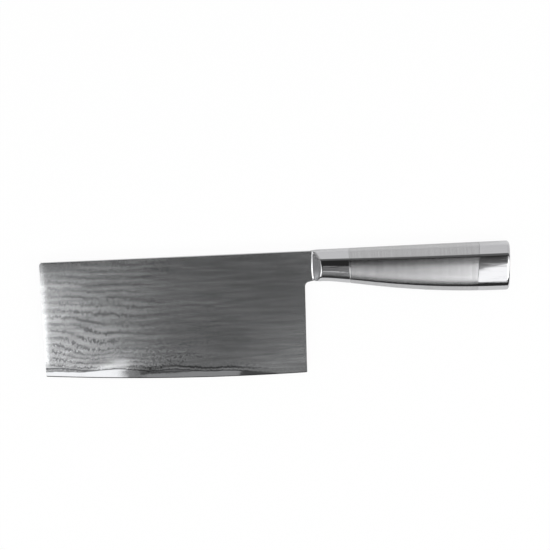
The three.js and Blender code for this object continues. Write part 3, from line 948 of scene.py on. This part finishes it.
# %% [markdown]
# The layer next to the core shows as a dark rim, which is broad and speckled at the tip. Over the
# middle of the edge a second line runs just above it. Here and there the acid has left fine pits.

# %% Layered steel: rim and pits
RIM_TOOTH = 0.4
RIM_TOP, RIM_BAND = (DIP_START, DIP_END, 2.9, 0.7), (-0.4, 0.3, 0, 1)
SPECKLE_GRAIN, SPECKLE, UNSPECKLED = (0.9, 0.9, 0.9), (0.4, 0.6, 0.25, 0.8), (0.7, 1.2, 1, 0)
SECOND_HEIGHT, SECOND_BAND = 2.5, (0.25, 0.7, 1, 0)
SECOND_FROM, SECOND_TO = (72, 92, 0, 1), (122, 140, 1, 0)
PIT_GRAIN, PITS = (1.1, 1.3, 1.3), (0.52, 0.66, 0, 1)
PATCH_GRAIN, PATCHES = (24, 8, 8), (0.45, 0.6, 0.18, 0.7)
PATCH_TIP, PATCH_REAR = (45, 70, 0.5, 1), (100, 140, 1, 0.3)

uneven = math(tree, "ADD", height, math(tree, "MULTIPLY", teeth, RIM_TOOTH))
below_top = math(tree, "SUBTRACT", ranged(tree, behind_tip, *RIM_TOP), uneven)
speckle = math(tree, "MAXIMUM", ranged(tree, grain(tree, *SPECKLE_GRAIN, Detail=1.0), *SPECKLE),
               ranged(tree, below_top, *UNSPECKLED))
rim = math(tree, "MULTIPLY", ranged(tree, below_top, *RIM_BAND), speckle, rear_fade)
off_second = math(tree, "ABSOLUTE", math(tree, "SUBTRACT", uneven, SECOND_HEIGHT), 0.0)
second = overlap(tree, (off_second, SECOND_BAND), (behind_tip, SECOND_FROM), (behind_tip, SECOND_TO))
pits = overlap(tree, (grain(tree, *PIT_GRAIN, Detail=0.0), PITS),
               (grain(tree, *PATCH_GRAIN, Detail=1.0), PATCHES),
               (behind_tip, PATCH_TIP), (behind_tip, PATCH_REAR))
marks = math(tree, "MAXIMUM", lines, rim, second, math(tree, "MULTIPLY", pits, unbuffed))

# %% [markdown]
# The acid darkens the softer steel, and it is made darker still close to the core. The bright steel keeps
# long streaks from the grinding belt. Painted shade darkens it by the spine at the tip and high on the
# blade towards the heel, and it is also darker low in the middle.
# Just above the core it has been polished finer than on the flat.

# %% Layered steel: tones and finish
DARKEST_BELOW = (2, 9, 0, 1)
STREAK_GRAIN, STREAKS = (26, 2.2, 2.2), (0.35, 0.65, 0, 1)
SPINE_SHADE_BELOW, SPINE_SHADE_TIP = (1, 12, 0.9, 0), (12, 42, 1, 0)
HEEL_SHADE_FROM, HEEL_SHADE_ABOVE, HEEL_SHADE_BELOW = (90, 155, 0, 0.4), (22, 42, 0, 1), (4, 14, 0.3, 1)
MIDDLE_FROM, MIDDLE_TO = (42, 85, 0, 0.45), (125, 160, 1, 0)
MIDDLE_ABOVE, MIDDLE_BELOW = (9, 15, 0, 1), (28, 45, 1, 0)
FLAT_ROUGHNESS, TIP_ROUGHNESS = (6.5, 12, 0.08, 0.245), (26, 36, 0.21, 0.08)
MARK_ROUGHNESS, ETCH_DEPTH = (0, 1, 1, 0.65), 0.004

# The dark steel is darker close to the core.
dark = mix_colours(tree, ranged(tree, height, *DARKEST_BELOW), "#58595B", "#898A8C")
streaks = ranged(tree, grain(tree, *STREAK_GRAIN, Detail=2.0), *STREAKS)
bright = mix_colours(tree, streaks, "#ABACAD", "#C0C1C2")
# Where painted shade darkens the bright steel: by the spine near the tip, and high on the blade towards the
# heel.
painted_spine_shade = overlap(tree, (below_spine, SPINE_SHADE_BELOW), (behind_tip, SPINE_SHADE_TIP))
painted_heel_shade = overlap(tree, (behind_tip, HEEL_SHADE_FROM), (height, HEEL_SHADE_ABOVE), (below_spine, HEEL_SHADE_BELOW))
low_middle = overlap(tree, (behind_tip, MIDDLE_FROM), (behind_tip, MIDDLE_TO),
                     (height, MIDDLE_ABOVE), (height, MIDDLE_BELOW))
# Painted shade: the bright steel is mixed towards a darker grey by the spine and the heel, and it is also
# darker low in the middle.
bright = mix_colours(tree, math(tree, "MAXIMUM", painted_spine_shade, painted_heel_shade, low_middle), bright, "#7C7D7E")
roughness = math(tree, "MAXIMUM", ranged(tree, height, *FLAT_ROUGHNESS),
                 ranged(tree, behind_tip, *TIP_ROUGHNESS))
roughness = math(tree, "MULTIPLY", roughness, ranged(tree, marks, *MARK_ROUGHNESS))
set_inputs(tree, shader, {"Base Color": mix_colours(tree, marks, bright, dark),
                          "Roughness": roughness,
                          "Normal": bump(tree, marks, ETCH_DEPTH, invert=True)})
print("steels:", [steel.name for steel in (polished, brushed, core_steel, layered)])

# %% [markdown]
# The knife lies on a pale floor, as in a catalogue picture. The floor shows the camera, and the
# steel, the white of a paper sweep, and it still takes a soft shadow.

# %% Floor
FLOOR_RADIUS, FLOOR_SIDES, FLOOR_GAP = 4, 64, 0.2
SHOWN_WHITE, MIRRORED_WHITE = 0.95, 0.4

bpy.ops.object.select_all(action="DESELECT")
bpy.ops.mesh.primitive_circle_add(vertices=FLOOR_SIDES, radius=FLOOR_RADIUS, fill_type="NGON",
                                  location=(0, 0, -FLOOR_GAP * MM))
floor = bpy.context.object
floor.name = "paper_floor"
paper = bpy.data.materials.new("white_paper")
tree = empty_tree(paper)
rays = tree.nodes.new("ShaderNodeLightPath").outputs
mirrored = math(tree, "MAXIMUM", rays["Is Glossy Ray"], rays["Is Transmission Ray"])
seen = math(tree, "MAXIMUM", math(tree, "MULTIPLY", rays["Is Camera Ray"], SHOWN_WHITE),
            math(tree, "MULTIPLY", mirrored, MIRRORED_WHITE))
matt = node(tree, "BsdfDiffuse", {"Color": linear("#F4F4F4")})
white = node(tree, "Emission", {"Color": (1, 1, 1, 1), "Strength": 1.0})
sweep = node(tree, "MixShader", {0: seen, 1: matt, 2: white})
node(tree, "OutputMaterial", {"Surface": sweep})
floor.data.materials.append(paper)

# %% [markdown]
# Steel shows nothing but what it mirrors, so the light is set by what each face should mirror. Level
# cards that glow hang over the knife, like paper cards over a product table. The camera doesn't see
# them and they cast no shadow. A card on a lower layer hides those above it. Their places are in metres,
# and each card is given by its corners, its glow and its layer.

# %% Helpers for cards
CARD_HEIGHT, LAYER = 0.6, 0.002


def card(name, corners, radiance, layer, far_radiance=None):
    """A level glowing card over the knife. Its glow can fade to another level at its far edge."""
    mesh = bpy.data.meshes.new(name)
    height = CARD_HEIGHT + layer * LAYER
    mesh.from_pydata([(x, y, height) for x, y in corners], [], [range(len(corners))])
    made = bpy.data.objects.new(name, mesh)
    bpy.context.scene.collection.objects.link(made)
    glow = bpy.data.materials.new(name + "_glow")
    tree = empty_tree(glow)
    if far_radiance is not None:
        ys = [y for _, y in corners]
        radiance = ranged(tree, axes(tree)["Y"], min(ys), max(ys), radiance, far_radiance)
    shine = node(tree, "Emission", {"Color": (1, 1, 1, 1), "Strength": radiance})
    node(tree, "OutputMaterial", {"Surface": shine})
    mesh.materials.append(glow)
    made.visible_camera = made.visible_shadow = False


def oblong(left, right, bottom, top):
    """The four corners of a plain card."""
    return [(left, bottom), (left, top), (right, top), (right, bottom)]


# %% [markdown]
# The cards on the left light the tip end of the blade. Their slanting edges make the soft limit
# between the bright tip and the grey middle, and the foot lights the bare core along the edge.

# %% Cards for the tip
CARD_TOP, CARD_BOTTOM, FOOT_TOP, FOOT_BOTTOM = -0.094, -0.305, -0.243, -0.45
FAR_LEFT, LEFT, LEFT_EDGE, FOOT_RIGHT = -2.2, -0.5, -0.33, -0.139

card("left_foot", [(-0.4, FOOT_TOP), (-0.187, FOOT_TOP), (-0.172, -0.246), (-0.158, -0.24),
                   (-0.15, -0.236), (-0.1415, -0.216), (-0.131, -0.209), (-0.131, -0.237),
                   (FOOT_RIGHT, -0.241), (FOOT_RIGHT, CARD_BOTTOM), (-0.175, CARD_BOTTOM),
                   (-0.175, FOOT_BOTTOM), (-0.4, FOOT_BOTTOM)], 1.75, 0)
card("left_glow", oblong(-0.27, -0.15, FOOT_TOP, -0.2), 0.75, 2)
card("left_card", [(LEFT, -0.155), (LEFT_EDGE, -0.155), (-0.26, -0.14), (-0.196, -0.147),
                   (-0.199, -0.175), (-0.225, -0.2), (-0.265, -0.225), (-0.28, CARD_BOTTOM),
                   (LEFT, CARD_BOTTOM)], 3.8, 1)
card("nose_card", oblong(LEFT, LEFT_EDGE, -0.155, -0.09), 2.8, 1)
card("far_left_card", oblong(FAR_LEFT, LEFT, -0.55, -0.17), 2.0, 1)

# %% [markdown]
# The cards on the right light the grip and the cap. The bright ones stop at a sharp edge, which the
# mirror of the cap shows, and two that fade away upwards soften the upper half of the handle.

# %% Cards for the handle
HANDLE_BOTTOM, CAP_BOTTOM = -0.275, -0.281
CAP_LEFT, CARD_REACH = 0.26, 1.1

card("far_right_card", oblong(CAP_LEFT, CARD_REACH, -0.21, -0.06), 3.4, 0)
card("low_right_card", oblong(CAP_LEFT, CARD_REACH, -0.279, -0.21), 4.1, 0)
card("right_card", [(0.098, HANDLE_BOTTOM), (0.157, -0.146), (0.176, CARD_TOP), (0.2, -0.05),
                    (CARD_REACH, -0.05), (CARD_REACH, -0.274), (0.27, -0.274), (CAP_LEFT, CAP_BOTTOM),
                    (0.168, CAP_BOTTOM), (0.162, HANDLE_BOTTOM)], 1.75, 1)
card("far_right_fade", oblong(CAP_LEFT, CARD_REACH, -0.06, 0.028), 3.0, 0, 0.0)
card("butt_fade", oblong(0.12, CAP_LEFT, -0.12, 0.02), 0.5, 2, 0.03)
card("bolster_card", [(0.012, HANDLE_BOTTOM), (0.014, -0.052), (0.034, -0.052), (0.034, HANDLE_BOTTOM)],
     0.34, 2)

# %% [markdown]
# Grey cards set the tones along the edge: the bare core behind the bright tip, the band above it, and
# the paler heel.

# %% Cards for the edge
STRIP_RIGHT, MID, HEEL_LEFT, HEEL_RIGHT = -0.125, -0.1, -0.03, 0.045

card("low_left_card", [(-0.15, -0.238), (-0.15, -0.206), (MID, -0.212), (MID, -0.238)], 0.52, 2)
card("low_card", [(FOOT_RIGHT, -0.247), (FOOT_RIGHT, -0.238), (MID, -0.238), (MID, -0.212), (0.0, -0.212),
                  (0.0, -0.247)], 0.2, 2, 0.37)
card("strip_card", oblong(FOOT_RIGHT, STRIP_RIGHT, -0.275, -0.238), 0.36, 1)
card("edge_card", [(STRIP_RIGHT, CARD_BOTTOM), (STRIP_RIGHT, -0.269), (-0.112, -0.262), (-0.094, -0.254),
                   (-0.06, -0.252), (HEEL_LEFT, -0.24), (HEEL_LEFT, CARD_BOTTOM)], 0.43, 1)
card("heel_card", [(HEEL_LEFT, CARD_BOTTOM), (HEEL_LEFT, -0.235), (-0.01, -0.218), (HEEL_RIGHT, -0.218),
                   (HEEL_RIGHT, CARD_BOTTOM)], 0.37, 1)
card("heel_glow", [(-0.01, -0.218), (0.0, -0.208), (0.034, -0.175), (HEEL_RIGHT, -0.175),
                   (HEEL_RIGHT, -0.218)], 1.8, 3)
card("edge_fill", oblong(MID, 0.0, -0.6, CARD_BOTTOM), 0.1, 2)

# %% [markdown]
# Dim cards above all the others keep the middle of the blade and the upper side of the grip a quiet
# grey.

# %% Dim cards
DIM_SEAM = -0.06

card("dim_card", oblong(LEFT_EDGE, DIM_SEAM, CARD_BOTTOM, CARD_TOP), 0.06, 4, 0.18)
card("dim_right_card", oblong(DIM_SEAM, HEEL_RIGHT, CARD_BOTTOM, CARD_TOP), 0.045, 4, 0.09)
card("dim_grip_card", [(HEEL_RIGHT, HANDLE_BOTTOM), (HEEL_RIGHT, CARD_TOP), (0.08, CARD_TOP), (0.15, -0.06),
                       (0.4, -0.06), (0.4, HANDLE_BOTTOM)], 0.118, 4)

# %% [markdown]
# One soft lamp lights the paper. The steel doesn't mirror it.

# %% Paper lamp
LAMP_SIZE, LAMP_HEIGHT, LAMP_BACK, LAMP_POWER = 1.6, 1.6, 0.3, 20
lamp_data = bpy.data.lights.new("paper_lamp", "AREA")
lamp_data.size = LAMP_SIZE
lamp_data.energy = LAMP_POWER
lamp = bpy.data.objects.new("paper_lamp", lamp_data)
bpy.context.scene.collection.objects.link(lamp)
lamp.location = (0, LAMP_BACK, LAMP_HEIGHT)
lamp.visible_camera = lamp.visible_glossy = False

# %% [markdown]
# The room is bright low down behind the knife, dimmer to the left, dark in front and dim overhead. The
# upper facets of the handle mirror its bright side, and the edges between the facets its dark one. The
# camera sees plain white.

# %% Room
HORIZON_TOP, DARK_FROM, HORIZON_GLOW = sin(radians(22)), sin(radians(30)), 0.95
TO_BACK, TO_LEFT, TO_RIGHT = (-0.3, 0.7, 0.08, 1), (-0.8, -0.3, 0.27, 0.05), (0.05, 0.13, 1, 0.89)
OVERHEAD = (0.07, 0.25, 0.035, 0.18)

world = bpy.data.worlds.new("studio_room")
bpy.context.scene.world = world
tree = empty_tree(world)
along_x, along_y, upward = axes(tree, "Generated")
sides = math(tree, "MAXIMUM", ranged(tree, along_y, *TO_BACK), ranged(tree, along_x, *TO_LEFT))
low_glow = math(tree, "MULTIPLY", ranged(tree, upward, HORIZON_TOP, DARK_FROM, HORIZON_GLOW, 0),
                sides, ranged(tree, along_x, *TO_RIGHT))
overhead = overlap(tree, (upward, (HORIZON_TOP, DARK_FROM, 0, 1)), (along_y, OVERHEAD))
camera_ray = tree.nodes.new("ShaderNodeLightPath").outputs["Is Camera Ray"]
shown = math(tree, "MAXIMUM", math(tree, "ADD", low_glow, overhead), camera_ray)
room = node(tree, "Background", {"Color": (1, 1, 1, 1), "Strength": shown})
node(tree, "OutputWorld", {"Surface": room})

# %% [markdown]
# Each finished piece takes the place of the imported piece that it was modelled from, and gets its
# steel.

# %% Hand over
PIECES = {
    core: ("blade_core", "core_steel", core_steel),
    left_cladding: ("left_cladding", "layered_steel", layered),
    right_cladding: ("right_cladding", "layered_steel", layered),
    bolster: ("bolster", "polished_steel", polished),
    left_grip: ("left_grip_shell", "brushed_steel", brushed),
    right_grip: ("right_grip_shell", "brushed_steel", brushed),
    cap: ("butt_cap", "polished_steel", polished),
}
for piece, (node_name, slot_name, material) in PIECES.items():
    piece.data.materials.clear()
    piece.data.materials.append(material)
    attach(piece, "root")
    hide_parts(node_name)
